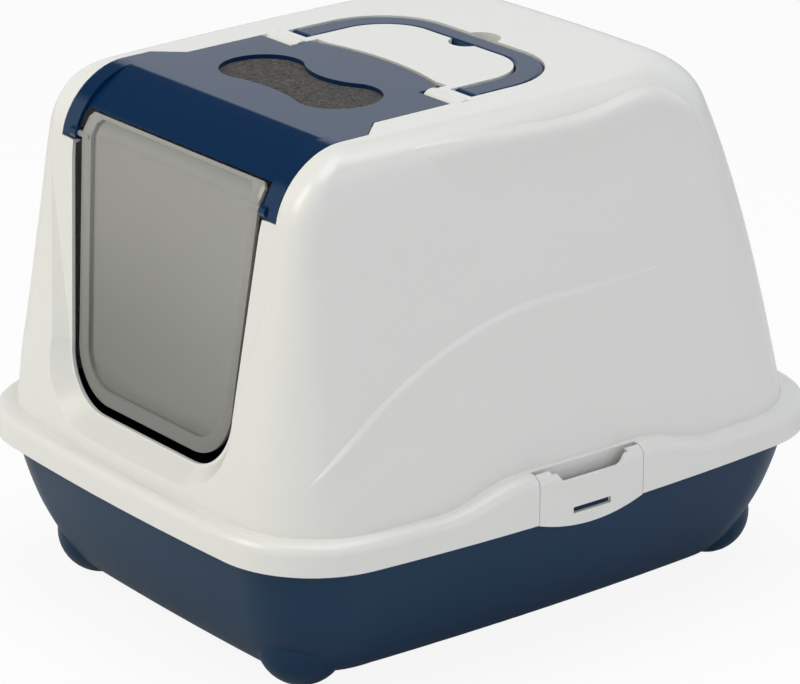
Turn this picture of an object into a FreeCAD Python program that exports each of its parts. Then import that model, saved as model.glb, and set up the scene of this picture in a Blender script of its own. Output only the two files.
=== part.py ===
import FreeCAD, Part
import math
import os
from FreeCAD import Vector

# Hooded cat litter box: a tray, a lift-off hood, a flip-up lid with a swinging door flap and a filter,
# a folding carrying handle and two side latches. Millimetres: X across, Y to the rear, Z up. The doorway
# faces -Y, and the origin is on the floor under the middle of the box.

# Whole box
box_length = 500.0
box_width = 418.0
rim_height = 125.0
roof_height = 376.5
shell = 2.6
edge_gap = 0.7
pin_gap = 0.05
seat_gap = 0.3
cut_overrun = 5.0

# Skirt round the foot of the hood, with a swell on each side that carries a latch
skirt_bottom = 107.5
skirt_top = 129.0
skirt_wall = 2.8
skirt_overhang = 12.0
skirt_corner = 76.0
skirt_side_bow = 17.0
skirt_end_bow = 9.0
skirt_round = 8.0
swell_top = 142.0
swell_flat = 100.0
swell_length = 250.0
swell_ease_share = 0.45

# Hood walls and roof: sizes at the rim, how far each wall leans in by the roof, and the round roof edges
side_lean = 46.0
front_lean = 45.5
rear_lean = 43.0
rear_curl = 27.0
wall_side_bow = 12.0
wall_end_bow = 9.0
top_side_bow = 6.0
top_front_bow = 1.0
top_rear_bow = 5.0
front_corner = 70.0
front_corner_top = 8.0
rear_corner = 78.0
rear_corner_top = 68.0
roof_tilt = 1.0
shoulder_round = 45.0
side_round = 18.0
rear_round = 32.0
wall_steps = 6
round_steps = 9

# Doorway: a leaning plane, the dish round it and the opening in it
door_plane_top = 340.0
door_plane_low = 147.0
door_plane_step = 20.2
opening_bottom = 147.5
opening_low_width = 190.0
opening_top_width = 220.0
opening_corner = 42.0
opening_low_height = 190.0
opening_high = 330.0
dish_margin = 2.0
dish_top_width = 284.0
dish_reach = 40.0
dish_side_slope = 1.15
dish_sill_slope = 0.8

# Flip-up lid
lid_thickness = 3.0
lid_front_width = 247.0
lid_rear_width = 211.0
lid_step_front = -124.0
lid_step_rear = -106.0
lid_rear = -42.0
tab_width = 144.0
tab_side_rear = -25.0
tab_rear = -14.0
prong_bottom = 329.0
prong_inner_width = 217.0
visor_start = -150.0
visor_front = -187.0
visor_bottom = 349.8
visor_start_pull = 8.0
visor_end_pull_back = 7.5
visor_end_pull_up = 9.5
seat_opening_width = 198.0
seat_opening_rear = -46.0
tab_sweep = 3.6
tab_side_sweep = 7.2
lid_axis_y = -31.0
lid_axis_depth = 8.5
lid_pin = 3.0
lid_pin_length = 9.0
lug_radius = 5.5
lug_width = 7.0
boss_radius = 9.5

# Filter window, pad and grille
window_place = -87.0
window_lobe = 30.0
window_lobe_spread = 87.0
waist_rear = 18.0
waist_front = 24.0
waist_turn = 20.0
pad_margin = 5.0
pad_thickness = 6.0
grille_thickness = 2.0
grille_slot = 7.0
grille_bar = 3.5
collar_wall = 2.4
collar_depth = 10.5

# Door flap
flap_axis_inset = 4.0
flap_axis_z = 333.5
flap_top = 351.5
flap_bend_z = 336.0
flap_bend = 25.0
flap_top_width = 203.0
flap_neck_width = 204.0
flap_neck_z = 331.0
flap_low_width = 181.0
flap_corner = 40.0
flap_bottom = 154.0
flap_top_chamfer = 4.0
flap_thickness = 2.4
flap_rim = 11.0
flap_top_rim = 3.0
flap_panel_step = 3.0
flap_pin = 2.2
flap_pin_length = 4.0
prong_boss = 4.4
prong_boss_reach = 2.0
prong_boss_width = 6.5

# Carrying handle and its well
handle_width = 205.0
handle_bar = 21.0
handle_bow = 17.0
handle_rear = 72.5
handle_outer_corner = 57.0
handle_inner_corner = 40.0
handle_thickness = 12.0
handle_round = 3.0
handle_sink = 0.5
handle_axis_y = -14.0
handle_pin = 3.0
handle_pin_length = 4.0
well_gap = 1.0
well_depth = 14.0
well_front = -21.5
finger_rear_radius = 15.0
finger_rear_place = 69.5
finger_front_radius = 13.0
finger_front_place = 58.0
well_boss = 7.0

# Side latches
latch_width = 91.0
latch_gap = 0.5
latch_dip = 133.5
latch_ear = 12.0
latch_ear_slope = 11.0
latch_low = 107.0
latch_lowest = 99.5
latch_thickness = 3.0
latch_back = 6.6
pocket_back = 11.5
latch_axis_inset = 4.4
latch_axis_z = 136.0
latch_pin = 2.0
latch_pin_length = 3.5
slot_width = 33.0
slot_height = 4.6
slot_place = 111.0

# Tray
tray_floor = 8.0
tray_wall = 2.6
tray_lip_inset = 6.0
tray_lip = 3.0
tray_height_shares = (0.0, 0.05, 0.205, 0.40, 0.62, 0.82, 1.0)
tray_inset = 11.0
tray_floor_inset = 60.0
tray_inset_shares = (1.0, 0.76, 0.51, 0.30, 0.14, 0.04, 0.0)
tray_corner_floor = 48.0
tray_bow_share = 0.3
tray_side_tuck = 10.0
foot_radius = 31.0
foot_sink = 0.6
foot_spread = 241.0
foot_front = -179.0
foot_rear = 186.0
catch_width = 27.0
catch_height = 3.6
catch_gap = 0.4


def blend(low, high, share):
    return low + (high - low) * share


def bow_radius(half_chord, bow):
    return (half_chord ** 2 + bow ** 2) / (2 * bow)


def unit(vector):
    return Vector(vector) / vector.Length


def circles_meet(center_a, radius_a, center_b, radius_b):
    """The rightmost of the two points where two circles in a level plane meet."""
    between = center_b - center_a
    along = (radius_a ** 2 - radius_b ** 2 + between.Length ** 2) / (2 * between.Length)
    aside = math.sqrt(radius_a ** 2 - along ** 2)
    axis = unit(between)
    across = Vector(-axis.y, axis.x, 0)
    foot = center_a + axis * along
    return max((foot + across * aside, foot - across * aside), key=lambda point: point.x)


def arc(start, middle, end):
    return Part.Arc(start, middle, end).toShape()


def line(start, end):
    return Part.LineSegment(start, end).toShape()


def mirror_x(point):
    return Vector(-point.x, point.y, point.z)


def mirrored(shape):
    return shape.mirror(Vector(0, 0, 0), Vector(1, 0, 0))


def both_sides(shape):
    return shape.fuse(mirrored(shape))


def outline(height, half_width, front, rear, front_radius, rear_radius, side_bow, front_bow, rear_bow):
    """A level rounded rectangle with bowed sides, as eight tangent arcs."""
    middle = (front + rear) / 2
    side_radius = bow_radius((rear - front) / 2, side_bow)
    side_center = Vector(half_width - side_radius, middle, 0)
    corners = []
    for end, bow, radius, way in ((front, front_bow, front_radius, 1), (rear, rear_bow, rear_radius, -1)):
        end_radius = bow_radius(half_width, bow)
        end_center = Vector(0, end + way * end_radius, 0)
        center = circles_meet(side_center, side_radius - radius, end_center, end_radius - radius)
        on_side = center + unit(center - side_center) * radius
        on_end = center + unit(center - end_center) * radius
        bend = center + unit(on_side + on_end - center * 2) * radius
        corners.append((on_side, bend, on_end))
    front_corner_points, rear_corner_points = corners
    half = [
        (front_corner_points[0], Vector(half_width, middle, 0), rear_corner_points[0]),
        rear_corner_points,
        (rear_corner_points[2], Vector(0, rear, 0), mirror_x(rear_corner_points[2])),
    ]
    left_rear = tuple(mirror_x(point) for point in reversed(rear_corner_points))
    left_side = tuple(mirror_x(point) for point in reversed(half[0]))
    left_front = tuple(mirror_x(point) for point in front_corner_points)
    front_arc = (left_front[2], Vector(0, front, 0), front_corner_points[2])
    right_front = tuple(reversed(front_corner_points))
    loop = half + [left_rear, left_side, left_front, front_arc, right_front]
    wire = Part.Wire([arc(*points) for points in loop])
    wire.translate(Vector(0, 0, height))
    return wire


def skirt_outline(height, inset, corner=skirt_corner, bow_share=1.0, side_tuck=0.0):
    half_length = box_length / 2 - inset
    end_bow = skirt_end_bow * bow_share
    return outline(height, box_width / 2 - inset - side_tuck, -half_length, half_length, corner, corner,
                   skirt_side_bow * bow_share, end_bow, end_bow)


def prism(wire, rise):
    return Part.Face(wire).extrude(Vector(0, 0, rise))


def round_inset(radius, depth):
    """How far a rounded edge lies inside the wall at a depth below the roof."""
    left = max(radius - depth, 0)
    return radius - math.sqrt(radius ** 2 - left ** 2)


def hull_wire(height, inset):
    """The hood's level outline at a height, moved in by the inset and tilted with the roof."""
    share = (height - rim_height) / (roof_height - rim_height)
    depth = roof_height - inset - height
    half_length = box_length / 2 - skirt_overhang - inset
    shoulder = shoulder_round - inset
    side = side_round - inset
    rear = rear_round - inset
    wire = outline(
        height,
        box_width / 2 - skirt_overhang - inset - side_lean * share - round_inset(side, depth),
        front_lean * share - half_length + round_inset(shoulder, depth),
        half_length - rear_lean * share - rear_curl * share ** 3 - round_inset(rear, depth),
        blend(front_corner, front_corner_top, share) - inset,
        blend(rear_corner, rear_corner_top, share) - inset,
        blend(wall_side_bow, top_side_bow, share),
        blend(wall_end_bow, top_front_bow, share),
        blend(wall_end_bow, top_rear_bow, share))
    level_share = (roof_height - shoulder_round - rim_height) / (roof_height - rim_height)
    wire.rotate(Vector(0, 0, height), Vector(1, 0, 0), roof_tilt * min(share / level_share, 1))
    return wire


def hull(inset):
    """The hood's outer form as a solid, with every face moved in by the inset."""
    round_start = roof_height - shoulder_round
    heights = [blend(rim_height, round_start, step / wall_steps) for step in range(wall_steps)]
    for step in range(round_steps + 1):
        turn = math.pi / 2 * step / round_steps
        heights.append(roof_height - inset - (shoulder_round - inset) * (1 - math.sin(turn)))
    return Part.makeLoft([hull_wire(height, inset) for height in heights], True, False)


def hull_front(height):
    share = (height - rim_height) / (roof_height - rim_height)
    return front_lean * share - box_length / 2 + skirt_overhang


def layer(top, bottom):
    """The layer of the hood's form between two depths below its outer face."""
    return hull(top).cut(hull(bottom))


roof_slope = math.tan(math.radians(roof_tilt))


def roof_z(place, depth=0.0):
    """Height of the flat of the roof over a place along Y, less a depth."""
    return roof_height + roof_slope * place - depth


# Doorway plane: its foot, its way up and its way out
door_low = Vector(0, hull_front(door_plane_top) - door_plane_step, door_plane_low)
door_up = unit(Vector(0, door_plane_step, door_plane_top - door_plane_low))
door_out = Vector(0, -door_up.z, door_up.y)


def on_door(x, height, out=0.0):
    """A point on the doorway plane at a height, moved out from the plane."""
    climb = (height - door_low.z) / door_up.z
    return door_low + door_up * climb + door_out * out + Vector(x, 0, 0)


def door_shape(low_half, low_height, high_half, high_height, bottom, corner, out):
    """A U outline on the doorway plane: straight flaring sides and a round-cornered bottom."""
    bend = corner * (1 - math.sqrt(0.5))
    right = [
        on_door(high_half, high_height, out),
        on_door(low_half, low_height, out),
        on_door(low_half - bend, bottom + bend, out),
        on_door(low_half - corner, bottom, out)]
    left = [mirror_x(point) for point in right]
    return Part.Wire([
        line(right[0], right[1]),
        arc(right[1], right[2], right[3]),
        line(right[3], left[3]),
        arc(left[3], left[2], left[1]),
        line(left[1], left[0]),
        line(left[0], right[0])])


def dish(grow):
    """The dish round the doorway, with its floor and walls moved out of the dish by grow."""
    flare = (dish_top_width - opening_low_width) / 2 / (door_plane_top - opening_low_height)
    high = roof_height + cut_overrun
    wires = []
    for out in (-grow, dish_reach):
        spread = dish_margin + dish_side_slope * out + grow
        drop = dish_margin + dish_sill_slope * out + grow
        low_half = opening_low_width / 2 + spread
        high_half = low_half + flare * (high - opening_low_height)
        wires.append(door_shape(low_half, opening_low_height, high_half, high,
                                opening_bottom - drop, opening_low_height - opening_bottom + drop, out))
    return Part.makeLoft(wires, True, True)


def doorway_cut():
    wire = door_shape(opening_low_width / 2, opening_bottom + opening_corner,
                      opening_top_width / 2, opening_high, opening_bottom, opening_corner, dish_reach)
    return Part.Face(wire).extrude(door_out * (-2 * dish_reach))


def skirt_block(bottom):
    """The skirt's outer shape as a full block, higher in the middle of each side, with a round top edge."""
    tall = prism(skirt_outline(bottom, 0), swell_top + cut_overrun - bottom)
    flat = swell_flat / 2
    end = swell_length / 2
    ease = (end - flat) * swell_ease_share
    far = box_length / 2 + cut_overrun
    corners = [Vector(0, -far, bottom), Vector(0, -far, skirt_top), Vector(0, -end, skirt_top)]
    rise = Part.BezierCurve()
    rise.setPoles([corners[2], Vector(0, ease - end, skirt_top), Vector(0, -flat - ease, swell_top),
                   Vector(0, -flat, swell_top)])
    fall = Part.BezierCurve()
    fall.setPoles([Vector(0, -pole.y, pole.z) for pole in reversed(rise.getPoles())])
    ends = [Vector(0, -corner.y, corner.z) for corner in reversed(corners)]
    wire = Part.Wire([
        line(corners[0], corners[1]),
        line(corners[1], corners[2]),
        rise.toShape(),
        line(rise.getPoles()[3], fall.getPoles()[0]),
        fall.toShape(),
        line(ends[0], ends[1]),
        line(ends[1], ends[2]),
        line(ends[2], corners[0])])
    wire.translate(Vector(-box_width, 0, 0))
    swollen = tall.common(Part.Face(wire).extrude(Vector(2 * box_width, 0, 0)))
    top_edges = []
    for edge in swollen.Edges:
        middle = edge.valueAt((edge.FirstParameter + edge.LastParameter) / 2)
        level = edge.BoundBox.ZMin > skirt_top - edge_gap
        inside = Part.Vertex(middle).distToShape(skirt_outline(middle.z, 0))[0]
        if level and inside < edge_gap:
            top_edges.append(edge)
    return swollen.makeFillet(skirt_round, top_edges)


def slab(top, bottom):
    """A wide plate that lies parallel to the roof, between two depths below it."""
    plate = Part.makeBox(2 * box_width, 2 * box_length, bottom - top,
                         Vector(-box_width, -box_length, roof_height - bottom))
    plate.rotate(Vector(0, 0, roof_height), Vector(1, 0, 0), roof_tilt)
    return plate


def through(wire):
    """A level outline on the floor, carried up past the roof."""
    return prism(wire, 2 * roof_height)


def rod(radius, start, end):
    return Part.makeCylinder(radius, (end - start).Length, start, end - start)


def cross_rod(radius, start_x, end_x, place):
    """A round bar along X between two places across the box."""
    return rod(radius, Vector(start_x, place.y, place.z), Vector(end_x, place.y, place.z))


def block(low, high):
    return Part.makeBox(high[0] - low[0], high[1] - low[1], high[2] - low[2], Vector(*low))


def lid_plan(grow, tab_grow):
    """The lid from above: wide over the doorway, narrower over the roof, with a hinge tab at its rear."""
    front = lid_front_width / 2 + grow
    rear = lid_rear_width / 2 + grow
    tab = tab_width / 2 + grow
    right = [
        Vector(front, -box_length / 2, 0),
        Vector(front, lid_step_front, 0),
        Vector(rear, lid_step_rear + grow, 0),
        Vector(rear, lid_rear + grow, 0),
        Vector(tab, lid_rear + grow, 0),
        Vector(tab, tab_side_rear + tab_grow, 0)]
    left = [mirror_x(point) for point in reversed(right)]
    edges = [line(start, end) for start, end in zip(right, right[1:])]
    edges.append(arc(right[-1], Vector(0, tab_rear + tab_grow, 0), left[0]))
    edges += [line(start, end) for start, end in zip(left, left[1:])]
    edges.append(line(left[-1], right[0]))
    return Part.Wire(edges)


def window_plan(grow):
    """The filter window from above: two round lobes joined by a narrower waist."""
    lobe = window_lobe + grow
    turn = math.radians(waist_turn)
    center = Vector(window_lobe_spread / 2, window_place, 0)
    reach = Vector(-lobe * math.sin(turn), lobe * math.cos(turn), 0)
    rear_start = center + reach
    front_end = center + Vector(reach.x, -reach.y, 0)
    return Part.Wire([
        arc(front_end, center + Vector(lobe, 0, 0), rear_start),
        arc(rear_start, Vector(0, window_place + waist_rear + grow, 0), mirror_x(rear_start)),
        arc(mirror_x(rear_start), mirror_x(center + Vector(lobe, 0, 0)), mirror_x(front_end)),
        arc(mirror_x(front_end), Vector(0, window_place - waist_front - grow, 0), front_end)])


lid_axis = Vector(0, lid_axis_y, roof_z(lid_axis_y, lid_axis_depth))
flap_axis = on_door(0, flap_axis_z, -flap_axis_inset)
handle_axis = Vector(0, handle_axis_y, roof_z(handle_axis_y, handle_sink + handle_thickness / 2))
latch_axis = Vector(box_width / 2 - latch_axis_inset, 0, latch_axis_z)


def handle_plan(grow):
    """The handle from above: a U with its bow to the rear."""
    outer = handle_width / 2 + grow
    inner = handle_width / 2 - handle_bar - grow
    rear = handle_rear + grow
    front = handle_rear - handle_bow - grow
    edges = []
    paths = []
    turns = ((outer, rear, handle_outer_corner + grow), (inner, front, handle_inner_corner - grow))
    for half, far, corner in turns:
        bend = corner * (1 - math.sqrt(0.5))
        paths.append([Vector(half, well_front, 0), Vector(half, far - corner, 0),
                      Vector(half - bend, far - bend, 0), Vector(half - corner, far, 0)])
    for right in paths:
        left = [mirror_x(point) for point in right]
        edges += [line(right[0], right[1]), arc(right[1], right[2], right[3]), line(right[3], left[3]),
                  arc(left[3], left[2], left[1]), line(left[1], left[0])]
    for way in (1, -1):
        edges.append(line(Vector(way * outer, well_front, 0), Vector(way * inner, well_front, 0)))
    return Part.Wire(Part.__sortEdges__(edges))


def well(grow):
    """The handle's well in the roof: the handle's room, and a finger dip before and behind its bow."""
    room = through(handle_plan(well_gap + grow))
    for place, radius in ((finger_rear_place, finger_rear_radius), (finger_front_place, finger_front_radius)):
        room = room.fuse(rod(radius + grow, Vector(0, place, 0), Vector(0, place, 2 * roof_height)))
    return room.common(slab(-cut_overrun, well_depth + grow))


def above(low):
    """All the room over a height."""
    return block((-box_width, -box_length, low), (box_width, box_length, 2 * roof_height))


def latch_pocket():
    """The room for one latch, on the +X side."""
    half = latch_width / 2 + latch_gap
    return block((box_width / 2 - pocket_back, -half, skirt_bottom - cut_overrun),
                 (box_width, half, swell_top + cut_overrun))


def make_hood():
    body = hull(0).fuse(skirt_block(skirt_bottom)).cut(dish(0))
    inside = hull(shell).cut(dish(shell))
    channel_low = skirt_bottom - cut_overrun
    channel = prism(skirt_outline(channel_low, skirt_wall), rim_height - channel_low)
    body = body.cut(inside).cut(channel)
    # Seat under the lid, the lid's room in it and the opening through it
    seat_depth = lid_thickness + seat_gap
    seat = layer(0, seat_depth + shell).common(through(lid_plan(edge_gap + shell, edge_gap + shell)))
    body = body.fuse(seat.common(above(prong_bottom - edge_gap - shell)))
    # Handle well
    body = body.fuse(well(shell).common(hull(0)))
    for way in (1, -1):
        wall = way * (handle_width / 2 + well_gap)
        boss = cross_rod(well_boss, wall, wall + way * well_boss, handle_axis)
        body = body.fuse(boss.common(hull(0)))
    body = body.cut(well(0))
    room = through(lid_plan(edge_gap, edge_gap)).common(above(prong_bottom - edge_gap))
    body = body.cut(room.cut(hull(seat_depth)))
    half = seat_opening_width / 2
    opening = block((-half, -box_length, opening_high - cut_overrun),
                    (half, seat_opening_rear, 2 * roof_height))
    tab = through(lid_plan(edge_gap, tab_sweep)).common(
        block((-tab_width, seat_opening_rear - cut_overrun, opening_high), (tab_width, 0, 2 * roof_height)))
    tab_half = tab_width / 2 + edge_gap
    tab = tab.common(block((-tab_half, -box_length, 0), (tab_half, box_length, 2 * roof_height)))
    tab = tab.fuse(block((-tab_half, lid_rear, opening_high),
                         (tab_half, tab_side_rear + tab_side_sweep, 2 * roof_height)))
    prong_half = prong_inner_width / 2 + prong_boss_width - prong_boss_reach + edge_gap
    prongs = block((-prong_half, -box_length, flap_axis.z - prong_boss - edge_gap),
                   (prong_half, visor_start, 2 * roof_height))
    body = body.cut(doorway_cut()).cut(opening).cut(tab).cut(prongs)
    # Hinge bosses at the lid's rear corners, and the room over them for the lid's rear edge to swing through
    for way in (1, -1):
        start = way * tab_half
        end = way * (lid_rear_width / 2 + edge_gap)
        body = body.cut(block((min(start, end), lid_rear, roof_z(lid_rear, seat_depth)),
                              (max(start, end), lid_axis.y, 2 * roof_height)))
        end += way * shell
        boss = cross_rod(boss_radius, start, end, lid_axis)
        foot = block((min(start, end), lid_axis.y, lid_axis.z - boss_radius),
                     (max(start, end), well_front, lid_axis.z))
        body = body.fuse(boss).fuse(foot)
    for way in (1, -1):
        bore_end = way * (tab_half + lid_pin_length + edge_gap)
        body = body.cut(cross_rod(lid_pin + pin_gap, way * (tab_half - cut_overrun), bore_end, lid_axis))
        pivot = handle_width / 2 + handle_pin_length + edge_gap
        body = body.cut(cross_rod(handle_pin + pin_gap, way * (handle_width / 2), way * pivot, handle_axis))
    # Latch pockets and the bores for the latch pins
    half = latch_width / 2 + latch_pin_length + edge_gap
    bore = rod(latch_pin + pin_gap, latch_axis + Vector(0, -half, 0), latch_axis + Vector(0, half, 0))
    return body.cut(both_sides(latch_pocket().fuse(bore)))


def under_visor(inset, half):
    """All that lies behind the visor's face, moved in by the inset: a profile carried across the lid."""
    way_in = unit(Vector(0, visor_end_pull_up, -visor_end_pull_back)) * inset
    start = Vector(-half, visor_start, roof_z(visor_start))
    end = Vector(-half, visor_front, visor_bottom)
    poles = [start, start - Vector(0, visor_start_pull, roof_slope * visor_start_pull),
             end + Vector(0, visor_end_pull_back, visor_end_pull_up), end]
    face = Part.BezierCurve()
    face.setPoles([pole + way_in for pole in poles])
    high = face.getPoles()[0]
    low = face.getPoles()[3]
    far_low = Vector(low.x, 0, low.z)
    far_high = Vector(high.x, 0, high.z)
    wire = Part.Wire([face.toShape(), line(low, far_low), line(far_low, far_high), line(far_high, high)])
    return Part.Face(wire).extrude(Vector(2 * half, 0, 0))


def make_lid():
    body = layer(0, lid_thickness).common(through(lid_plan(0, 0))).common(above(prong_bottom))
    half = prong_inner_width / 2
    body = body.cut(block((-half, -box_length, 0), (half, visor_start, 2 * roof_height)))
    # Visor sunk between the prongs, and a wall up to the lid's face at each of its ends
    visor = under_visor(0, half).cut(under_visor(lid_thickness, half))
    visor = visor.common(block((-half, -box_length, visor_bottom),
                               (half, visor_start + lid_thickness, 2 * roof_height)))
    body = body.fuse(visor)
    walls = hull(0).cut(under_visor(lid_thickness, box_width / 2))
    for way in (1, -1):
        start = min(way * half, way * (half + lid_thickness))
        body = body.fuse(walls.common(block((start, -box_length, visor_bottom),
                                            (start + lid_thickness, visor_start, 2 * roof_height))))
    body = body.cut(through(window_plan(0)))
    collar = through(window_plan(pad_margin + collar_wall)).cut(through(window_plan(pad_margin)))
    body = body.fuse(collar.common(slab(lid_thickness - seat_gap, lid_thickness + collar_depth)))
    for way in (1, -1):
        start = way * (tab_width / 2 - lug_width)
        end = way * tab_width / 2
        lug = cross_rod(lug_radius, start, end, lid_axis)
        web_top = roof_z(lid_axis.y - lug_radius, lid_thickness / 2)
        web = block((min(start, end), lid_axis.y - lug_radius, lid_axis.z),
                    (max(start, end), lid_axis.y + lug_radius, web_top))
        pin = cross_rod(lid_pin, start, end + way * lid_pin_length, lid_axis)
        body = body.fuse(lug).fuse(web).fuse(pin)
        start = way * (prong_inner_width / 2 - prong_boss_reach)
        end = start + way * prong_boss_width
        boss = cross_rod(prong_boss, start, end, flap_axis)
        body = body.fuse(boss).cut(cross_rod(flap_pin + pin_gap, start - way * cut_overrun,
                                             start + way * (flap_pin_length + edge_gap), flap_axis))
    return body


def make_pad():
    return through(window_plan(pad_margin)).common(slab(lid_thickness, lid_thickness + pad_thickness))


def make_grille():
    top = lid_thickness + pad_thickness
    plate = through(window_plan(pad_margin)).common(slab(top, top + grille_thickness))
    field = through(window_plan(0))
    pitch = grille_slot + grille_bar
    count = math.floor((window_lobe_spread + 2 * window_lobe) / pitch)
    for index in range(count):
        middle = (index - (count - 1) / 2) * pitch
        slot = block((middle - grille_slot / 2, -box_length, 0), (middle + grille_slot / 2, 0, 2 * roof_height))
        plate = plate.cut(slot.common(field))
    return plate


def flap_face(inset, top_inset, out):
    """The flap's outline on the doorway plane, moved in at the sides and bottom, and at the top."""
    high = flap_top_width / 2 - inset
    neck = flap_neck_width / 2 - inset
    low = flap_low_width / 2 - inset
    corner = flap_corner - inset
    bottom = flap_bottom + inset
    top = flap_top - top_inset
    bend = corner * (1 - math.sqrt(0.5))
    right = [
        on_door(high - flap_top_chamfer, top, out),
        on_door(high, top - flap_top_chamfer, out),
        on_door(neck, flap_neck_z, out),
        on_door(low, bottom + corner, out),
        on_door(low - bend, bottom + bend, out),
        on_door(low - corner, bottom, out)]
    left = [mirror_x(point) for point in right]
    return Part.Face(Part.Wire([
        line(right[0], right[1]),
        line(right[1], right[2]),
        line(right[2], right[3]),
        arc(right[3], right[4], right[5]),
        line(right[5], left[5]),
        arc(left[5], left[4], left[3]),
        line(left[3], left[2]),
        line(left[2], left[1]),
        line(left[1], left[0]),
        line(left[0], right[0])]))


def make_flap():
    front = flap_thickness / 2 - flap_axis_inset
    rim = flap_face(0, 0, front).extrude(door_out * -flap_thickness)
    # The panel is sunk behind the rim
    panel = flap_face(flap_rim - flap_thickness, flap_top_rim - flap_thickness, front)
    panel = panel.extrude(door_out * -(flap_thickness + flap_panel_step))
    hollow = flap_face(flap_rim, flap_top_rim, front).extrude(door_out * -flap_panel_step)
    flat = rim.fuse(panel).cut(hollow)
    # The head of the flap, over its pins, bends back under the visor
    bend = on_door(0, flap_bend_z, front)
    room = Part.makeBox(2 * box_width, box_length, box_length, Vector(-box_width, -box_length / 2, 0))
    room.rotate(Vector(0, 0, 0), Vector(1, 0, 0), -math.degrees(math.atan2(door_up.y, door_up.z)))
    room.translate(bend)
    head = flat.common(room)
    head.rotate(bend, Vector(1, 0, 0), -flap_bend)
    body = flat.cut(room).fuse(head)
    start = prong_inner_width / 2 - prong_boss_reach
    for way in (1, -1):
        inner = way * (flap_neck_width / 2 - flap_rim + flap_thickness)
        body = body.fuse(cross_rod(flap_pin, inner, way * (start + flap_pin_length), flap_axis))
    return body


def make_handle():
    bar = through(handle_plan(0)).common(slab(handle_sink, handle_sink + handle_thickness))
    bar = bar.common(block((-box_width, handle_axis.y, 0), (box_width, box_length, 2 * roof_height)))
    long_edges = []
    for edge in bar.Edges:
        if edge.BoundBox.YMax > handle_axis.y + edge_gap and edge.BoundBox.ZLength < handle_thickness / 2:
            long_edges.append(edge)
    bar = bar.makeFillet(handle_round, long_edges)
    for way in (1, -1):
        outer = way * handle_width / 2
        inner = outer - way * handle_bar
        bar = bar.fuse(cross_rod(handle_thickness / 2, inner, outer, handle_axis))
        bar = bar.fuse(cross_rod(handle_pin, inner, outer + way * handle_pin_length, handle_axis))
    return bar


def latch_profile():
    """A latch seen from the side: two ears at the top, a dip between them and a bowed lower edge."""
    half = latch_width / 2
    ear = half - latch_ear
    dip = ear - latch_ear_slope
    ease = latch_ear_slope / 2
    slope = Part.BezierCurve()
    slope.setPoles([Vector(0, ear, swell_top), Vector(0, ear - ease, swell_top),
                    Vector(0, dip + ease, latch_dip), Vector(0, dip, latch_dip)])
    rise = Part.BezierCurve()
    rise.setPoles([Vector(0, -pole.y, pole.z) for pole in reversed(slope.getPoles())])
    low_right = Vector(0, half, latch_low)
    low_left = Vector(0, -half, latch_low)
    wire = Part.Wire([
        line(low_right, Vector(0, half, swell_top)),
        line(Vector(0, half, swell_top), Vector(0, ear, swell_top)),
        slope.toShape(),
        line(Vector(0, dip, latch_dip), Vector(0, -dip, latch_dip)),
        rise.toShape(),
        line(Vector(0, -ear, swell_top), Vector(0, -half, swell_top)),
        line(Vector(0, -half, swell_top), low_left),
        arc(low_left, Vector(0, 0, latch_lowest), low_right)])
    return Part.Face(wire).extrude(Vector(box_width, 0, 0))


def make_latch():
    body = skirt_block(latch_lowest - cut_overrun).common(latch_profile())
    hollow = prism(skirt_outline(0, latch_thickness), 2 * swell_top)
    half = latch_width / 2
    back = box_width / 2 - latch_back
    for way in (1, -1):
        low = min(way * half, way * (half - latch_ear))
        ear = block((back, low, latch_axis.z - latch_axis_inset), (box_width, low + latch_ear, 2 * swell_top))
        hollow = hollow.cut(ear)
    body = body.cut(hollow)
    slot_low = slot_place - slot_height / 2
    body = body.cut(block((0, -slot_width / 2, slot_low), (box_width, slot_width / 2, slot_low + slot_height)))
    for way in (1, -1):
        start = latch_axis + Vector(0, way * (half - latch_ear), 0)
        end = latch_axis + Vector(0, way * (half + latch_pin_length), 0)
        body = body.fuse(rod(latch_pin, start, end))
    return body


def tray_form(inset, low):
    """The tray's form as a solid, moved in by the inset, from a height up to the rim."""
    wires = []
    for height_share, inset_share in zip(tray_height_shares, tray_inset_shares):
        height = blend(low, rim_height, height_share)
        away = blend(tray_inset, tray_floor_inset, inset_share) + inset
        corner = blend(skirt_corner - tray_inset, tray_corner_floor, inset_share) - inset
        bow_share = blend(1, tray_bow_share, inset_share)
        wires.append(skirt_outline(height, away, corner, bow_share, tray_side_tuck * inset_share))
    return Part.makeLoft(wires, True, False)


def make_tray():
    body = tray_form(0, tray_floor)
    room = tray_form(tray_wall, tray_floor + tray_wall)
    lip = prism(skirt_outline(rim_height - tray_lip, tray_lip_inset), tray_lip)
    body = body.fuse(lip)
    for x in (-foot_spread / 2, foot_spread / 2):
        for y in (foot_front, foot_rear):
            center = Vector(x, y, foot_radius - foot_sink)
            body = body.fuse(Part.makeSphere(foot_radius, center))
            room = room.fuse(Part.makeSphere(foot_radius - tray_wall, center))
    catch = block((0, -catch_width / 2, slot_place - catch_height / 2),
                  (box_width / 2 - latch_thickness - catch_gap, catch_width / 2, slot_place + catch_height / 2))
    body = body.fuse(both_sides(catch))
    rim_inset = tray_inset + tray_wall
    over = prism(skirt_outline(rim_height, rim_inset, skirt_corner - rim_inset), cut_overrun)
    body = body.cut(room).cut(over)
    return body.common(block((-box_width, -box_length, 0), (box_width, box_length, rim_height)))


os.makedirs("parts", exist_ok=True)
latch = make_latch()
pieces = {
    "litter_tray": make_tray(),
    "hood": make_hood(),
    "flip_lid": make_lid(),
    "filter_pad": make_pad(),
    "filter_grille": make_grille(),
    "door_flap": make_flap(),
    "carry_handle": make_handle(),
    "latch_right": latch,
    "latch_left": mirrored(latch),
}
for name, shape in pieces.items():
    shape.removeSplitter().exportStep("parts/" + name + ".step")
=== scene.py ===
import math

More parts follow.
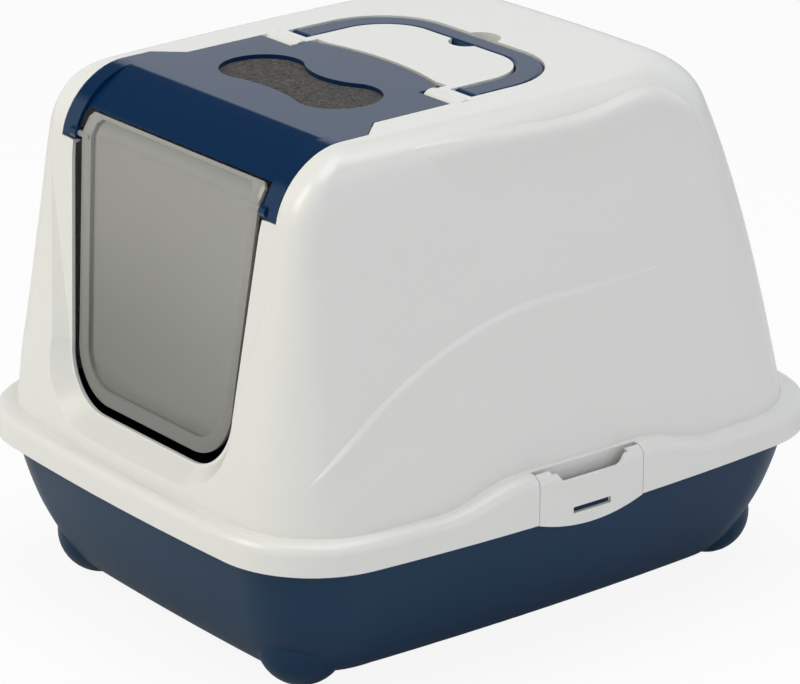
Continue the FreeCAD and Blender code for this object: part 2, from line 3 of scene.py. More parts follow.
import bmesh
import bpy
import numpy as np
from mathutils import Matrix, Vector
from mathutils.bvhtree import BVHTree


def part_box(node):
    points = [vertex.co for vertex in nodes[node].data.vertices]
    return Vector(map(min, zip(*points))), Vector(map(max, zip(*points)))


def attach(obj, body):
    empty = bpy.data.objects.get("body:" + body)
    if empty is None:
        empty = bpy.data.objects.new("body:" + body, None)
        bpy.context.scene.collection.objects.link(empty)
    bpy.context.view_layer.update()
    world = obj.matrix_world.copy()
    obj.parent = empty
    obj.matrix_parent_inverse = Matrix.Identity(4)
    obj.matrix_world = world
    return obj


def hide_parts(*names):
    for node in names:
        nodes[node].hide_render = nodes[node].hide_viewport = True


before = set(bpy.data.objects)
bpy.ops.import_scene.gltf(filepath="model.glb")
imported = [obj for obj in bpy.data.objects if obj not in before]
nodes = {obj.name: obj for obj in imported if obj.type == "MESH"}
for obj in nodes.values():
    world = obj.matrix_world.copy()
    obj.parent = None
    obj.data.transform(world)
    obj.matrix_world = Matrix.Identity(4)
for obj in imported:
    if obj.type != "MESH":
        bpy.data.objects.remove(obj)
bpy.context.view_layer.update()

mm = 0.001

# The photograph's viewing angle
view_turn = math.radians(52.0)
view_rise = math.radians(20.3)
view_reach = 2.74
view_target = Vector((0, 0, 0.168))
view_lens = 174.15
view_sensor = 36.0
view_shift = (-0.0016, -0.0019)
view_end = 20

# Paint: linear colours of the moulded plastics
hood_white = (0.76, 0.755, 0.725)
tray_navy = (0.007, 0.032, 0.074)
lid_navy = (0.003, 0.021, 0.066)
navy_sheen = (0.50, 0.74, 1.0)
flap_smoke = (0.40, 0.395, 0.375)
felt_dark = (0.036, 0.034, 0.032)
felt_light = (0.15, 0.143, 0.135)
strand_light = (0.26, 0.25, 0.24)

# The flap: how much it covers, and painted shade: how its colour darkens from a high place to a low one, for
# the shaded inside of the hood seen through it
flap_cover = 0.68
flap_shade_low = 0.15
flap_shade_high = 0.33
flap_shade_depth = 0.62

# Studio: the backdrop's sweep and the ceiling over it, and the floor
sweep_pale = (0.715, 0.735, 0.765)
ceiling_dim = (0.10, 0.11, 0.13)
ceiling_start = math.radians(24.0)
ceiling_full = math.radians(31.0)
lamp_aim = (0, 0, 0.2)
floor_reach = 6.0
floor_white = (0.9, 0.9, 0.9)
floor_glow = 0.9

# Eased edges: what is welded, flat, sharp enough to ease, and left as a crease
weld_distance = 1e-5
flat_angle = math.radians(1)
sharp_angle = math.radians(40)
crease_angle = math.radians(28)

# Moulded lines on the hood: their rows and fit, and in millimetres how they seek its face and sink into it
strip_rows = 200
fit_degree = 18
seek_out = 30
seek_reach = 120
tip_share = 0.2
strip_sink = 0.08
tip_sink = 0.5
strip_root = 1.4


def link(obj):
    bpy.context.scene.collection.objects.link(obj)
    return obj


def rgba(colour):
    return (*colour, 1.0)


def set_up_camera():
    back = Vector((
        math.sin(view_turn) * math.cos(view_rise),
        -math.cos(view_turn) * math.cos(view_rise),
        math.sin(view_rise)))
    camera = link(bpy.data.objects.new("camera", bpy.data.cameras.new("camera")))
    camera.location = view_target + back * view_reach
    camera.rotation_euler = back.to_track_quat("Z", "Y").to_euler()
    camera.data.lens = view_lens
    camera.data.sensor_width = view_sensor
    camera.data.shift_x, camera.data.shift_y = view_shift
    camera.data.clip_end = view_end
    bpy.context.scene.camera = camera


def soft_box(name, place, width, height, power, colour=(1, 1, 1)):
    """A rectangular studio lamp, aimed at the middle of the part."""
    lamp = bpy.data.lights.new(name, "AREA")
    lamp.shape = "RECTANGLE"
    lamp.size = width
    lamp.size_y = height
    lamp.energy = power
    lamp.color = colour
    obj = link(bpy.data.objects.new(name, lamp))
    obj.location = place
    obj.rotation_euler = (Vector(place) - Vector(lamp_aim)).to_track_quat("Z", "Y").to_euler()


def set_up_studio():
    scene = bpy.context.scene
    scene.view_settings.view_transform = "Standard"
    world = bpy.data.worlds.new("studio")
    scene.world = world
    world.use_nodes = True
    tree = world.node_tree
    tree.nodes.clear()
    out = tree.nodes.new("ShaderNodeOutputWorld")
    fill = tree.nodes.new("ShaderNodeBackground")
    fill.inputs["Strength"].default_value = 1.0
    # A pale sweep of backdrop all round, and a dimmer ceiling over it
    place = tree.nodes.new("ShaderNodeTexCoord")
    split = tree.nodes.new("ShaderNodeSeparateXYZ")
    rise = tree.nodes.new("ShaderNodeMapRange")
    rise.interpolation_type = "SMOOTHSTEP"
    rise.inputs["From Min"].default_value = math.sin(ceiling_start)
    rise.inputs["From Max"].default_value = math.sin(ceiling_full)
    sweep = tree.nodes.new("ShaderNodeMix")
    sweep.data_type = "RGBA"
    sweep.inputs["A"].default_value = rgba(sweep_pale)
    sweep.inputs["B"].default_value = rgba(ceiling_dim)
    tree.links.new(place.outputs["Generated"], split.inputs[0])
    tree.links.new(split.outputs["Z"], rise.inputs["Value"])
    tree.links.new(rise.outputs["Result"], sweep.inputs["Factor"])
    tree.links.new(sweep.outputs["Result"], fill.inputs["Color"])
    white = tree.nodes.new("ShaderNodeBackground")
    white.inputs["Color"].default_value = (1, 1, 1, 1)
    white.inputs["Strength"].default_value = 1.0
    path = tree.nodes.new("ShaderNodeLightPath")
    seen = tree.nodes.new("ShaderNodeMath")
    seen.operation = "MAXIMUM"
    both = tree.nodes.new("ShaderNodeMixShader")
    tree.links.new(path.outputs["Is Camera Ray"], seen.inputs[0])
    tree.links.new(path.outputs["Is Transmission Ray"], seen.inputs[1])
    tree.links.new(seen.outputs[0], both.inputs["Fac"])
    tree.links.new(fill.outputs[0], both.inputs[1])
    tree.links.new(white.outputs[0], both.inputs[2])
    tree.links.new(both.outputs[0], out.inputs["Surface"])
    soft_box("key", (-1.0, -2.6, 2.2), width=1.8, height=1.8, power=47, colour=(1.0, 0.96, 0.80))
    soft_box("overhead", (0.3, 0.1, 2.8), width=2.4, height=2.4, power=46, colour=(0.97, 0.985, 1.0))
    soft_box("side", (2.7, 0.3, 1.2), width=1.8, height=1.4, power=8)
    floor_mesh = bpy.data.meshes.new("floor")
    floor_mesh.from_pydata(
        [(x * floor_reach, y * floor_reach, 0) for x, y in ((-1, -1), (1, -1), (1, 1), (-1, 1))],
        [], [(0, 1, 2, 3)])
    floor = link(bpy.data.objects.new("floor", floor_mesh))
    paint = bpy.data.materials.new("floor_white")
    paint.use_nodes = True
    shader = paint.node_tree.nodes["Principled BSDF"]
    shader.inputs["Base Color"].default_value = rgba(floor_white)
    shader.inputs["Roughness"].default_value = 0.9
    shader.inputs["Specular IOR Level"].default_value = 0.1
    # The camera sees the floor nearly as white as the backdrop, with the shadow kept
    tree = paint.node_tree
    glow = tree.nodes.new("ShaderNodeEmission")
    path = tree.nodes.new("ShaderNodeLightPath")
    share = tree.nodes.new("ShaderNodeMath")
    share.operation = "MULTIPLY"
    share.inputs[1].default_value = floor_glow
    both = tree.nodes.new("ShaderNodeMixShader")
    tree.links.new(path.outputs["Is Camera Ray"], share.inputs[0])
    tree.links.new(share.outputs[0], both.inputs["Fac"])
    tree.links.new(shader.outputs[0], both.inputs[1])
    tree.links.new(glow.outputs[0], both.inputs[2])
    tree.links.new(both.outputs[0], tree.nodes["Material Output"].inputs["Surface"])
    floor_mesh.materials.append(paint)


def moulded_surface():
    """Shared effect: the faint mottling and fine skin of injection-moulded plastic."""
    group = bpy.data.node_groups.new("moulded_surface", "ShaderNodeTree")
    face = group.interface
    for name, kind, value in (
            ("Light", "NodeSocketColor", (0.8, 0.8, 0.8, 1)), ("Dark", "NodeSocketColor", (0.7, 0.7, 0.7, 1)),
            ("Flow Scale", "NodeSocketFloat", 9.0), ("Skin Scale", "NodeSocketFloat", 900.0),
            ("Gloss Low", "NodeSocketFloat", 0.2), ("Gloss High", "NodeSocketFloat", 0.3)):
        face.new_socket(name, in_out="INPUT", socket_type=kind).default_value = value
    face.new_socket("Color", in_out="OUTPUT", socket_type="NodeSocketColor")
    face.new_socket("Roughness", in_out="OUTPUT", socket_type="NodeSocketFloat")
    face.new_socket("Height", in_out="OUTPUT", socket_type="NodeSocketFloat")
    tree = group.nodes
    links = group.links
    taken = tree.new("NodeGroupInput")
    given = tree.new("NodeGroupOutput")
    place = tree.new("ShaderNodeTexCoord")
    flow = tree.new("ShaderNodeTexNoise")
    flow.inputs["Detail"].default_value = 3.0
    skin = tree.new("ShaderNodeTexNoise")
    skin.inputs["Detail"].default_value = 2.0
    tint = tree.new("ShaderNodeMix")
    tint.data_type = "RGBA"
    gloss = tree.new("ShaderNodeMapRange")
    links.new(place.outputs["Object"], flow.inputs["Vector"])
    links.new(place.outputs["Object"], skin.inputs["Vector"])
    links.new(taken.outputs["Flow Scale"], flow.inputs["Scale"])
    links.new(taken.outputs["Skin Scale"], skin.inputs["Scale"])
    links.new(flow.outputs["Fac"], tint.inputs["Factor"])
    links.new(taken.outputs["Dark"], tint.inputs["A"])
    links.new(taken.outputs["Light"], tint.inputs["B"])
    links.new(flow.outputs["Fac"], gloss.inputs["Value"])
    gloss.inputs["From Min"].default_value = 0.3
    gloss.inputs["From Max"].default_value = 0.7
    links.new(taken.outputs["Gloss Low"], gloss.inputs["To Min"])
    links.new(taken.outputs["Gloss High"], gloss.inputs["To Max"])
    links.new(tint.outputs["Result"], given.inputs["Color"])
    links.new(gloss.outputs["Result"], given.inputs["Roughness"])
    links.new(skin.outputs["Fac"], given.inputs["Height"])
    return group


def plastic(name, colour, gloss, skin_scale, skin_depth, spread, shine=0.5, sheen=(1, 1, 1)):
    """A moulded plastic: its colour with a little mottling, its gloss and its skin."""
    paint = bpy.data.materials.new(name)
    paint.use_nodes = True
    tree = paint.node_tree
    shader = tree.nodes["Principled BSDF"]
    skin = tree.nodes.new("ShaderNodeGroup")
    skin.node_tree = surface
    skin.inputs["Light"].default_value = rgba([part * (1 + spread) for part in colour])
    skin.inputs["Dark"].default_value = rgba([part * (1 - spread) for part in colour])
    skin.inputs["Skin Scale"].default_value = skin_scale
    skin.inputs["Gloss Low"].default_value = gloss[0]
    skin.inputs["Gloss High"].default_value = gloss[1]
    bump = tree.nodes.new("ShaderNodeBump")
    bump.inputs["Strength"].default_value = skin_depth
    bump.inputs["Distance"].default_value = 0.0002
    tree.links.new(skin.outputs["Color"], shader.inputs["Base Color"])
    tree.links.new(skin.outputs["Roughness"], shader.inputs["Roughness"])
    tree.links.new(skin.outputs["Height"], bump.inputs["Height"])
    tree.links.new(bump.outputs["Normal"], shader.inputs["Normal"])
    shader.inputs["Specular IOR Level"].default_value = shine
    shader.inputs["Specular Tint"].default_value = rgba(sheen)
    return paint


def see_through_plastic():
    """The flap's smoke tint: part clear, with painted shade that darkens it towards its lower edge."""
    paint = plastic("flap_plastic", flap_smoke, gloss=(0.10, 0.14), skin_scale=700.0, skin_depth=0.03,
                    spread=0.04, shine=0.6)
    tree = paint.node_tree
    shader = tree.nodes["Principled BSDF"]
    shader.inputs["Alpha"].default_value = flap_cover
    # Painted shade: below a height the colour is mixed towards black, standing in for the shaded inside of the
    # hood seen through the flap's lower part
    place = tree.nodes.new("ShaderNodeTexCoord")
    split = tree.nodes.new("ShaderNodeSeparateXYZ")
    flap_darkening = tree.nodes.new("ShaderNodeMapRange")
    flap_darkening.interpolation_type = "SMOOTHSTEP"
    flap_darkening.inputs["From Min"].default_value = flap_shade_low
    flap_darkening.inputs["From Max"].default_value = flap_shade_high
    flap_darkening.inputs["To Min"].default_value = flap_shade_depth
    flap_darkening.inputs["To Max"].default_value = 1.0
    tone = tree.nodes.new("ShaderNodeMix")
    tone.data_type = "RGBA"
    tone.inputs["A"].default_value = (0, 0, 0, 1)
    tree.links.new(place.outputs["Object"], split.inputs[0])
    tree.links.new(split.outputs["Z"], flap_darkening.inputs["Value"])
    tree.links.new(flap_darkening.outputs["Result"], tone.inputs["Factor"])
    tree.links.new(shader.inputs["Base Color"].links[0].from_socket, tone.inputs["B"])
    tree.links.new(tone.outputs["Result"], shader.inputs["Base Color"])
    return paint


def felt():
    """Charcoal filter felt: dark with paler strands and a rough nap."""
    paint = bpy.data.materials.new("filter_felt")
    paint.use_nodes = True
    tree = paint.node_tree
    shader = tree.nodes["Principled BSDF"]
    place = tree.nodes.new("ShaderNodeTexCoord")
    nap = tree.nodes.new("ShaderNodeTexNoise")
    nap.inputs["Scale"].default_value = 620.0
    nap.inputs["Detail"].default_value = 4.0
    strands = tree.nodes.new("ShaderNodeTexNoise")
    strands.inputs["Scale"].default_value = 260.0
    strands.inputs["Detail"].default_value = 3.0
    strands.inputs["Distortion"].default_value = 2.5
    tint = tree.nodes.new("ShaderNodeValToRGB")
    tint.color_ramp.elements[0].position = 0.38
    tint.color_ramp.elements[0].color = rgba(felt_dark)
    tint.color_ramp.elements[1].position = 0.72
    tint.color_ramp.elements[1].color = rgba(felt_light)
    both = tree.nodes.new("ShaderNodeMix")
    both.inputs["Factor"].default_value = 0.5
    bump = tree.nodes.new("ShaderNodeBump")
    bump.inputs["Distance"].default_value = 0.0008
    rough = tree.nodes.new("ShaderNodeMapRange")
    rough.inputs["To Min"].default_value = 0.85
    rough.inputs["To Max"].default_value = 1.0
    tree.links.new(place.outputs["Object"], nap.inputs["Vector"])
    tree.links.new(place.outputs["Object"], strands.inputs["Vector"])
    tree.links.new(nap.outputs["Fac"], both.inputs["A"])
    tree.links.new(strands.outputs["Fac"], both.inputs["B"])
    tree.links.new(both.outputs["Result"], tint.inputs["Fac"])
    tree.links.new(tint.outputs["Color"], shader.inputs["Base Color"])
    tree.links.new(nap.outputs["Fac"], rough.inputs["Value"])
    tree.links.new(rough.outputs["Result"], shader.inputs["Roughness"])
    tree.links.new(both.outputs["Result"], bump.inputs["Height"])
    tree.links.new(bump.outputs["Normal"], shader.inputs["Normal"])
    shader.inputs["Specular IOR Level"].default_value = 0.15
    return paint


def paint_node(name, paint):
    mesh = nodes[name].data
    mesh.materials.clear()
    mesh.materials.append(paint)


def eased(name, body, paint, width):
    """The node's own mesh with its sharp edges rounded a little, as a moulding's are, to catch the light."""
    mesh = nodes[name].data.copy()
    mesh.name = name + "_eased"
    work = bmesh.new()
    work.from_mesh(mesh)
    bmesh.ops.remove_doubles(work, verts=work.verts, dist=weld_distance)
    bmesh.ops.dissolve_limit(
        work, angle_limit=flat_angle, verts=work.verts, edges=work.edges, use_dissolve_boundaries=False)
    sharp = [edge for edge in work.edges if edge.is_manifold and edge.calc_face_angle() > sharp_angle]
    bmesh.ops.bevel(
        work, geom=sharp, offset=width, segments=2, profile=0.5, affect="EDGES", clamp_overlap=True)
    bmesh.ops.triangulate(work, faces=[face for face in work.faces if len(face.verts) > 4])
    bmesh.ops.recalc_face_normals(work, faces=work.faces)
    work.to_mesh(mesh)
    work.free()
    mesh.materials.clear()
    mesh.materials.append(paint)
    mesh.shade_smooth()
    mesh.set_sharp_from_angle(angle=crease_angle)
    piece = link(bpy.data.objects.new(name + "_eased", mesh))
    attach(piece, body)
    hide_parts(name)


def smooth_path(points, count):
    """Points along a smooth line through the given ones, evenly in their order."""
    points = np.array(points, float)
    padded = np.vstack([2 * points[0] - points[1], points, 2 * points[-1] - points[-2]])
    lengths = np.linalg.norm(np.diff(points, axis=0), axis=1)
    along = np.concatenate([[0], np.cumsum(lengths)])
    result = []
    for place in np.linspace(0, along[-1], count):
        step = min(int(np.searchsorted(along, place, side="right")) - 1, len(points) - 2)
        share = (place - along[step]) / lengths[step]
        a, b, c, d = padded[step:step + 4]
        result.append(0.5 * (2 * b + (c - a) * share + (2 * a - 5 * b + 4 * c - d) * share ** 2
                             + (3 * b - a - 3 * c + d) * share ** 3))
    return np.array(result)


def fade(share, start, end):
    """0 at both ends of a strip and 1 between, with soft shoulders."""
    rise = np.clip(share / start, 0, 1)
    fall = np.clip((1 - share) / end, 0, 1)
    return (rise * rise * (3 - 2 * rise)) * (fall * fall * (3 - 2 * fall))


def fit_sheet(grid):
    """The same grid of points, with the facets of the mesh under it smoothed away along each line."""
    basis = np.polynomial.chebyshev.chebvander(np.linspace(-1, 1, len(grid)), fit_degree)
    weights = np.linalg.lstsq(basis, grid.reshape(len(grid), -1), rcond=None)[0]
    return (basis @ weights).reshape(grid.shape)


def relief(name, path, facing, section, start, end):
    """A low moulded line on the hood, both sides: a strip that follows a path over the hood's face.

    The path and the section are in millimetres. The section lists (place across the path, rise), from its lower
    edge to its upper edge. It fades in over the share start of the path and out over the share end."""
    line = smooth_path(path, strip_rows)
    steps = np.linalg.norm(np.diff(np.array(path, float), axis=0), axis=1)
    along = np.concatenate([[0], np.cumsum(steps)])
    places = np.linspace(0, along[-1], strip_rows)
    strength = fade(places / along[-1], start, end)
    facing = np.stack([np.interp(places, along, part) for part in np.array(facing, float).T], axis=1)
    facing /= np.linalg.norm(facing, axis=1)[:, None]
    ahead = np.gradient(line, axis=0)
    ahead /= np.linalg.norm(ahead, axis=1)[:, None]
    up = np.cross(facing, ahead)
    up /= np.linalg.norm(up, axis=1)[:, None]
    offsets, rises = np.array(section, float).T
    base = np.zeros((len(line), len(section), 3))
    for i, point in enumerate(line):
        for j, offset in enumerate(offsets):
            across = up[i] * offset * (tip_share + (1 - tip_share) * strength[i])
            seek = Vector(point + across + facing[i] * seek_out) * mm
            hit = hood_faces.ray_cast(seek, Vector(-facing[i]), seek_reach * mm)[0]
            hit = hit or hood_faces.find_nearest(seek)[0]
            base[i, j] = np.array(hit) / mm
    base = fit_sheet(base)
    normal = np.cross(np.gradient(base, axis=0), np.gradient(base, axis=1))
    normal /= np.linalg.norm(normal, axis=2)[:, :, None]
    normal *= np.sign((normal * facing[:, None, :]).sum(axis=2))[:, :, None]
    heights = rises[None, :] * strength[:, None]
    heights -= strip_sink + tip_sink * (1 - strength[:, None])
    top = base + normal * heights[:, :, None]
    under = base - normal * strip_root
    rows, columns = top.shape[:2]
    corners = np.vstack([top.reshape(-1, 3), under.reshape(-1, 3)]) * mm
    lower = rows * columns
    faces = []
    for i in range(rows - 1):
        for j in range(columns - 1):
            a, d = i * columns + j, i * columns + j + 1
            b, c = a + columns, d + columns
            faces += [(a, b, c, d), (lower + d, lower + c, lower + b, lower + a)]
        for a, b in ((i * columns, (i + 1) * columns), ((i + 2) * columns - 1, (i + 1) * columns - 1)):
            faces.append((b, a, lower + a, lower + b))
    for j in range(columns - 1):
        for a, b in ((j + 1, j), ((rows - 1) * columns + j, (rows - 1) * columns + j + 1)):
            faces.append((b, a, lower + a, lower + b))
    for side, way in (("right", 1), ("left", -1)):
        mesh = bpy.data.meshes.new(name + "_" + side)
        mesh.from_pydata([(x * way, y, z) for x, y, z in corners.tolist()], [], faces)
        work = bmesh.new()
        work.from_mesh(mesh)
        bmesh.ops.recalc_face_normals(work, faces=work.faces)
        work.to_mesh(mesh)
        work.free()
        for face in mesh.polygons:
            face.use_smooth = True
        mesh.materials.append(hood_paint)
        piece = link(bpy.data.objects.new(name + "_" + side, mesh))
        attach(piece, "hood")


def swoosh():
    """The long rising line on each side of the hood: a narrow ledge over a face that swells to it."""
    path = [(159.3, -217.8, 149.9), (164.2, -212.9, 157.3), (168.9, -206.7, 164.9), (172.4, -200.4, 172.1),
            (175.3, -193.2, 179.2), (177.2, -182.9, 189.5), (177.4, -170.4, 198.6), (176.4, -150, 212.0),
            (175.3, -121.5, 226.3), (174.7, -100.2, 235.1), (174.2, -78.8, 242.3), (173.8, -57.4, 247.5),
            (173.6, -35.9, 251.1), (173.6, -14.3, 252.4), (173.6, 7.4, 252.7), (173.6, 29.5, 252.6),
            (173.2, 52.1, 252.6), (172.6, 75.0, 253.0), (171.7, 98.5, 253.8), (170.3, 122.6, 255.2),
            (169.8, 134.2, 255.9)]
    corner = [(0.61, -0.79, 0.09), (0.67, -0.74, 0.11), (0.75, -0.65, 0.12), (0.82, -0.55, 0.15),
              (0.9, -0.41, 0.16), (0.96, -0.24, 0.17)]
    facing = corner + [(0.98, -0.06, 0.18)] * 4 + [(0.98, 0, 0.18)] * 7 + [(0.98, 0.04, 0.18)] * 4
    section = [(-36, -0.3), (-32, -0.04), (-28, 0.07), (-24, 0.23), (-20, 0.5), (-16, 0.9), (-12, 1.4),
               (-9, 1.8), (-6.5, 2.12), (-4.8, 2.32), (-3.6, 2.42), (-2.7, 2.45), (-2.1, 2.36), (-1.5, 2.02),
               (-0.8, 1.5), (-0.1, 0.98), (0.6, 0.46), (1.1, 0.12), (1.6, -0.12), (2.3, -0.3)]
    relief("side_swoosh", path, facing, section, start=0.15, end=0.34)


def shoulder_lip():
    """The rolled lip along each side of the roof, which turns down at the rear corner."""
    path = [(145.9, -118, 367.6), (148.9, -84.5, 366), (151.2, -61, 364.1), (153.2, -30, 361.2),
            (154, 4.6, 359.7), (154, 30.7, 359.5), (152.9, 55, 361.8), (151.0, 77, 365), (150.0, 95, 365.5),
            (150.6, 109.2, 362), (150.8, 125.7, 351), (152.8, 146.1, 323.9), (154.5, 170.5, 278.9)]
    facing = [(0.66, -0.05, 0.75), (0.75, -0.03, 0.65), (0.82, -0.02, 0.57), (0.88, 0, 0.47), (0.9, 0, 0.43),
              (0.9, 0, 0.43), (0.88, 0, 0.47), (0.83, 0.02, 0.55), (0.82, 0.06, 0.56), (0.85, 0.11, 0.5),
              (0.9, 0.2, 0.36), (0.9, 0.33, 0.28), (0.8, 0.5, 0.28)]
    section = [(-40, -0.3), (-35, -0.04), (-31, 0.06), (-27, 0.2), (-23, 0.45), (-19, 0.85), (-15, 1.4),
               (-11, 2.05), (-8, 2.55), (-5.5, 2.95), (-3.5, 3.22), (-2, 3.36), (-0.8, 3.4), (0.2, 3.34),
               (1.2, 3.1), (2.5, 2.5), (4, 1.65), (5.5, 0.85), (7, 0.25), (8.2, -0.1), (9.5, -0.3)]
    relief("shoulder_lip", path, facing, section, start=0.16, end=0.32)


def filter_pad():
    """The felt pad under the lid's window: a crowned cushion cut to two lobes and a waist."""
    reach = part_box("filter_pad")[1].x
    middle = -0.087
    lobe = 0.035
    spread = 0.0435
    turn = math.radians(20)
    meet = spread - lobe * math.sin(turn)
    rise = lobe * math.cos(turn)
    tilt = math.tan(math.radians(1.0))
    thickness = 0.006
    rear_waist = 0.023
    front_waist = 0.029
    roof_top = 0.3765
    roof_skin = 0.003
    edge_roll = 0.003
    crown_reach = 0.022
    crown_share = 0.1
    weld = 1e-6

    def edge(x, waist):
        """How far the pad reaches from its long middle line at a place across."""
        if abs(x) >= meet:
            return math.sqrt(max(lobe ** 2 - (abs(x) - spread) ** 2, 0))
        drop = rise - waist
        radius = (meet ** 2 + drop ** 2) / (2 * drop)
        return waist + radius - math.sqrt(radius ** 2 - x ** 2)

    columns = 96
    rows = 40
    mesh = bpy.data.meshes.new("filter_pad_felt")
    work = bmesh.new()
    grids = []
    for way in (1, -1):
        grid = []
        for i in range(columns + 1):
            x = -reach * math.cos(math.pi * i / columns)
            rear = edge(x, rear_waist)
            front = edge(x, front_waist)
            line = []
            for j in range(rows + 1):
                share = 0.5 - 0.5 * math.cos(math.pi * j / rows)
                y = middle - front + (front + rear) * share
                inside = min(share, 1 - share) * (front + rear)
                inside = min(inside, reach - abs(x))
                soft = min(inside / edge_roll, 1.0)
                crown = min(inside / crown_reach, 1.0)
                full = math.sqrt(max(1 - (1 - soft) ** 2, 0)) * (1 - crown_share)
                full += crown_share * (1 - (1 - crown) ** 2)
                top = roof_top + tilt * y - roof_skin
                core = top - thickness / 2
                line.append(work.verts.new((x, y, core + way * thickness / 2 * full)))
            grid.append(line)
        grids.append(grid)
    for way, grid in zip((1, -1), grids):
        for i in range(columns):
            for j in range(rows):
                loop = [grid[i][j], grid[i + 1][j], grid[i + 1][j + 1], grid[i][j + 1]]
                work.faces.new(loop if way == 1 else reversed(loop))
    bmesh.ops.remove_doubles(work, verts=work.verts, dist=weld)
    bmesh.ops.dissolve_degenerate(work, edges=work.edges, dist=weld)
    bmesh.ops.recalc_face_normals(work, faces=work.faces)
    work.to_mesh(mesh)
    work.free()
    for face in mesh.polygons:
        face.use_smooth = True
    mesh.materials.append(felt())
    piece = link(bpy.data.objects.new("filter_pad_felt", mesh))
    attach(piece, "lid")
    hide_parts("filter_pad")
    return piece


def strand_paint():
    """Pale to dark grey hairs of the felt."""
    paint = bpy.data.materials.new("felt_strand")
    paint.use_nodes = True
    tree = paint.node_tree
    shader = tree.nodes["Principled BSDF"]
    place = tree.nodes.new("ShaderNodeTexCoord")
    noise = tree.nodes.new("ShaderNodeTexNoise")
    noise.inputs["Scale"].default_value = 180.0
    tint = tree.nodes.new("ShaderNodeValToRGB")
    tint.color_ramp.elements[0].position = 0.4
    tint.color_ramp.elements[0].color = rgba(felt_dark)
    tint.color_ramp.elements[1].position = 0.65
    tint.color_ramp.elements[1].color = rgba(strand_light)
    tree.links.new(place.outputs["Object"], noise.inputs["Vector"])
    tree.links.new(noise.outputs["Fac"], tint.inputs["Fac"])
    tree.links.new(tint.outputs["Color"], shader.inputs["Base Color"])
    shader.inputs["Roughness"].default_value = 0.9
    shader.inputs["Specular IOR Level"].default_value = 0.15
    return paint


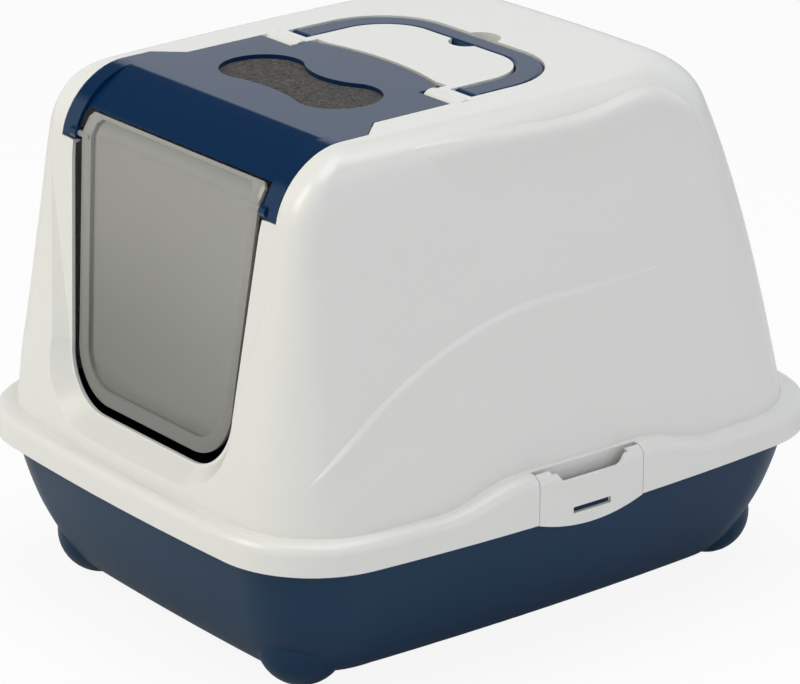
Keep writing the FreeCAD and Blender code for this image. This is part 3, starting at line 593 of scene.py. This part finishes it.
def felt_fibres(pad):
    """Loose strands of the felt: short hairs laid over the pad's top face in all directions."""
    tree = bpy.data.node_groups.new("felt_fibres", "GeometryNodeTree")
    face = tree.interface
    face.new_socket("Geometry", in_out="INPUT", socket_type="NodeSocketGeometry")
    inputs = {}
    for name, kind, value in (
            ("Strands", "NodeSocketFloat", 210000.0), ("Strand Length", "NodeSocketFloat", 0.0046),
            ("Strand Radius", "NodeSocketFloat", 0.00007), ("Seed", "NodeSocketInt", 7),
            ("Strand Material", "NodeSocketMaterial", strand_paint())):
        socket = face.new_socket(name, in_out="INPUT", socket_type=kind)
        inputs[socket.identifier] = value
    face.new_socket("Geometry", in_out="OUTPUT", socket_type="NodeSocketGeometry")
    add = tree.nodes.new
    join = tree.links.new
    taken = add("NodeGroupInput")
    given = add("NodeGroupOutput")
    normal = add("GeometryNodeInputNormal")
    split = add("ShaderNodeSeparateXYZ")
    upward = add("FunctionNodeCompare")
    upward.inputs["B"].default_value = 0.9
    points = add("GeometryNodeDistributePointsOnFaces")
    strand = add("GeometryNodeMeshCylinder")
    strand.inputs["Vertices"].default_value = 4
    tilt = add("FunctionNodeRandomValue")
    tilt.data_type = "FLOAT_VECTOR"
    tilt.inputs["Min"].default_value = (math.radians(86), 0, 0)
    tilt.inputs["Max"].default_value = (math.radians(94), 0, math.radians(360))
    size = add("FunctionNodeRandomValue")
    size.inputs["Min"].default_value = 0.45
    size.inputs["Max"].default_value = 1.0
    lay = add("GeometryNodeInstanceOnPoints")
    real = add("GeometryNodeRealizeInstances")
    paint = add("GeometryNodeSetMaterial")
    join(taken.outputs["Geometry"], points.inputs["Mesh"])
    join(normal.outputs[0], split.inputs[0])
    join(split.outputs["Z"], upward.inputs["A"])
    join(upward.outputs["Result"], points.inputs["Selection"])
    join(taken.outputs["Strands"], points.inputs["Density"])
    join(taken.outputs["Seed"], points.inputs["Seed"])
    join(taken.outputs["Strand Length"], strand.inputs["Depth"])
    join(taken.outputs["Strand Radius"], strand.inputs["Radius"])
    join(points.outputs["Points"], lay.inputs["Points"])
    join(strand.outputs["Mesh"], lay.inputs["Instance"])
    join(tilt.outputs[0], lay.inputs["Rotation"])
    join(size.outputs[1], lay.inputs["Scale"])
    join(taken.outputs["Seed"], tilt.inputs["Seed"])
    join(taken.outputs["Seed"], size.inputs["Seed"])
    join(lay.outputs["Instances"], real.inputs["Geometry"])
    join(real.outputs["Geometry"], paint.inputs["Geometry"])
    join(taken.outputs["Strand Material"], paint.inputs["Material"])
    join(paint.outputs["Geometry"], given.inputs["Geometry"])
    grown = link(bpy.data.objects.new("felt_fibres_base", pad.data.copy()))
    modifier = grown.modifiers.new("felt_fibres", "NODES")
    modifier.node_group = tree
    for socket, value in inputs.items():
        modifier[socket] = value
    grown.update_tag()
    bpy.context.view_layer.update()
    view = bpy.context.evaluated_depsgraph_get()
    mesh = bpy.data.meshes.new_from_object(grown.evaluated_get(view))
    mesh.name = "felt_fibres"
    bpy.data.objects.remove(grown)
    piece = link(bpy.data.objects.new("felt_fibres", mesh))
    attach(piece, "lid")


surface = moulded_surface()
set_up_camera()
set_up_studio()
hood_mesh = nodes["hood"].data
hood_faces = BVHTree.FromPolygons(
    [corner.co for corner in hood_mesh.vertices], [face.vertices for face in hood_mesh.polygons])
hood_paint = plastic(
    "hood_plastic", hood_white, gloss=(0.25, 0.27), skin_scale=650.0, skin_depth=0.04, spread=0.006)
latch_paint = plastic(
    "latch_plastic", hood_white, gloss=(0.25, 0.27), skin_scale=650.0, skin_depth=0.04, spread=0.006)
tray_paint = plastic(
    "tray_plastic", tray_navy, gloss=(0.36, 0.40), skin_scale=900.0, skin_depth=0.10, spread=0.03, shine=0.17)
lid_paint = plastic(
    "lid_plastic", lid_navy, gloss=(0.05, 0.07), skin_scale=700.0, skin_depth=0.02, spread=0.03, shine=0.42,
    sheen=navy_sheen)
handle_paint = plastic(
    "handle_plastic", lid_navy, gloss=(0.22, 0.26), skin_scale=800.0, skin_depth=0.05, spread=0.03, shine=0.62,
    sheen=navy_sheen)
grille_paint = plastic(
    "grille_plastic", lid_navy, gloss=(0.30, 0.34), skin_scale=800.0, skin_depth=0.05, spread=0.03)
paint_node("hood", hood_paint)
paint_node("latch_right", latch_paint)
paint_node("latch_left", latch_paint)
paint_node("litter_tray", tray_paint)
paint_node("flip_lid", lid_paint)
paint_node("carry_handle", handle_paint)
paint_node("filter_grille", grille_paint)
eased("door_flap", "flap", see_through_plastic(), 0.6 * mm)
swoosh()
shoulder_lip()
felt_fibres(filter_pad())
